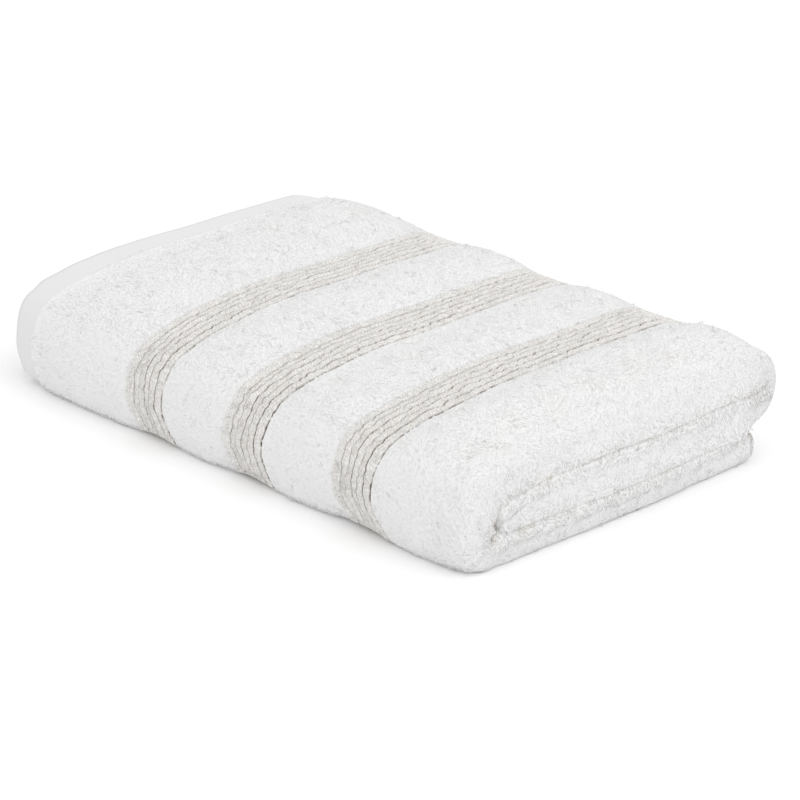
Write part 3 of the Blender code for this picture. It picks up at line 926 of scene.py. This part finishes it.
def terryGround():
    # The ground weave between the loops, and the flat hem: plain cotton weave with fine threads,
    # matt and a shade greyer on the hem. The threads are drawn about 1 mm wide, so that they show
    material, shader = newMaterial("cottonGroundWeave", Roughness=0.95)
    place = addNode(material, "ShaderNodeUVMap", {"uv_map": "clothPlace"}).outputs[0]
    hem = addNode(material, "ShaderNodeAttribute", {"attribute_name": "hemShare"}).outputs["Fac"]
    threads = addNode(material, "ShaderNodeTexNoise", {"Scale": 900.0, "Detail": 2.0},
                      {"Vector": place})
    colour = addNode(material, "ShaderNodeMix",
                     {"data_type": "RGBA", 6: linear("#ededed"), 7: linear("#e2e2e2")}, {0: hem})
    material.node_tree.links.new(colour.outputs[2], shader.inputs["Base Color"])
    bump = addNode(material, "ShaderNodeBump", {"Strength": 0.5, "Distance": 0.0003},
                   {"Height": threads.outputs[0]})
    material.node_tree.links.new(bump.outputs[0], shader.inputs["Normal"])
    return material


def cordWeave():
    # Grey-beige woven cotton cords: matt yarn with a faint glint. Shade is painted into its colour
    # between the lumps of its twist and down in the gaps, leaving the crests light
    material, shader = newMaterial("cottonCordWeave", Roughness=0.8)
    place = addNode(material, "ShaderNodeUVMap", {"uv_map": "cordPlace"}).outputs[0]
    gap = addNode(material, "ShaderNodeAttribute", {"attribute_name": "paintedGapShade"}).outputs["Fac"]
    # Slanted strokes of yarn, 0.6 mm wide and 1.3 mm long, which is coarse enough to show
    slanted = addNode(material, "ShaderNodeMapping",
                      {"vector_type": "TEXTURE", "Rotation": (0.0, 0.0, 0.8), "Scale": (1.0, 2.2, 1.0)},
                      {"Vector": place})
    strokes = addNode(material, "ShaderNodeTexNoise", {"Scale": 1700.0, "Detail": 2.0},
                      {"Vector": slanted.outputs[0]})
    yarn = addNode(material, "ShaderNodeMapRange", {"From Min": 0.36, "From Max": 0.64},
                   {0: strokes.outputs[0]})
    # Painted shade between the lumps of the twist
    valleyShadeShare = addNode(material, "ShaderNodeAttribute", {"attribute_name": "paintedValleyShade"}).outputs["Fac"]
    body = addNode(material, "ShaderNodeMix",
                   {"data_type": "RGBA", 6: linear("#d8d4cf"), 7: linear("#fbfaf9")},
                   {0: yarn.outputs[0]})
    twisted = addNode(material, "ShaderNodeMix", {"data_type": "RGBA", 7: linear("#b4afa7")},
                      {0: valleyShadeShare, 6: body.outputs[2]})
    # Painted shade down in the gaps between the cords, in dark brown
    colour = addNode(material, "ShaderNodeMix", {"data_type": "RGBA", 7: linear("#65543f")},
                     {0: gap, 6: twisted.outputs[2]})
    material.node_tree.links.new(colour.outputs[2], shader.inputs["Base Color"])
    bump = addNode(material, "ShaderNodeBump", {"Strength": 0.6, "Distance": 0.00025},
                   {"Height": yarn.outputs[0]})
    material.node_tree.links.new(bump.outputs[0], shader.inputs["Normal"])
    return material


# Studio: the photo's long lens, from in front of the near end and above. Lengths of the lens and
# sensor are in millimetres, places and distances in metres, angles in degrees
studio = {
    "lens": 180.0,
    "sensor": 36.0,
    "azimuth": 47.5,
    "elevation": 21.7,
    "distance": 1.4994,
    "target": (0.1004, -0.0823, 0.0585),
    "clip": (0.05, 50.0),
    "world": 0.89,
    "key": 12.2,              # watts of the softbox
    "keySize": 3.0,
    "keyPlace": (0.6, 0.2, 1.7),
    "floor": "#ffffff",
    "floorReach": 6.0,
    "floorDrop": 0.0002,      # so that the floor doesn't touch the cloth
    "bounces": 10,            # white cloth looks grey with fewer
}


def makeStudio():
    # A camera on a sphere round its target, a white floor, an even world and a round softbox
    s = studio
    azimuth, elevation = math.radians(s["azimuth"]), math.radians(s["elevation"])
    back = Vector((math.sin(azimuth) * math.cos(elevation), -math.cos(azimuth) * math.cos(elevation),
                   math.sin(elevation)))
    camera = bpy.data.objects.new("camera", bpy.data.cameras.new("camera"))
    camera.data.lens, camera.data.sensor_width = s["lens"], s["sensor"]
    camera.location = Vector(s["target"]) + s["distance"] * back
    camera.rotation_mode = "QUATERNION"
    camera.rotation_quaternion = (-back).to_track_quat("-Z", "Y")
    camera.data.clip_start, camera.data.clip_end = s["clip"]
    bpy.context.scene.collection.objects.link(camera)
    bpy.context.scene.camera = camera
    reach, drop = s["floorReach"], s["floorDrop"]
    floor = bpy.data.objects.new("floor", bpy.data.meshes.new("floor"))
    corners = ((-reach, -reach, -drop), (reach, -reach, -drop),
               (reach, reach, -drop), (-reach, reach, -drop))
    floor.data.from_pydata(corners, [], [(0, 1, 2, 3)])
    bpy.context.scene.collection.objects.link(floor)
    material, shader = newMaterial("palePaper", Roughness=1.0)
    shader.inputs["Base Color"].default_value = linear(s["floor"])
    floor.data.materials.append(material)
    world = bpy.data.worlds.new("world")
    world.use_nodes = True
    world.node_tree.nodes["Background"].inputs[0].default_value = (1.0, 1.0, 1.0, 1.0)
    world.node_tree.nodes["Background"].inputs[1].default_value = s["world"]
    bpy.context.scene.world = world
    lamp = bpy.data.lights.new("softbox", "AREA")
    lamp.energy, lamp.shape, lamp.size = s["key"], "DISK", s["keySize"]
    key = bpy.data.objects.new("softbox", lamp)
    key.location = s["keyPlace"]
    key.rotation_mode = "QUATERNION"
    key.rotation_quaternion = (-Vector(s["keyPlace"])).to_track_quat("-Z", "Y")
    bpy.context.scene.collection.objects.link(key)
    bpy.context.scene.view_settings.view_transform = "Standard"
    bpy.context.scene.cycles.diffuse_bounces = s["bounces"]


makeStudio()
print("studio ready")

towel = makeCloth()
towel.data.materials.append(terryGround())
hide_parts("towel")
mats = []
cordMaterial = cordWeave()
for seed, (name, band) in enumerate(bands.items()):
    mat = makeBand("cords-" + name.replace(" ", "-"), band, seeds["bands"] + 10 * seed)
    mat.data.materials.append(cordMaterial)
    mats.append(mat)

pileMaterial = terryLoops()
piles = []
for seed, (name, field) in enumerate(pileFields.items()):
    pile = makePile(name, field, seeds["piles"] + seed)
    pile.data.materials.append(pileMaterial)
    piles.append(pile)

for piece in [towel] + mats + piles:
    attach(piece, "root")
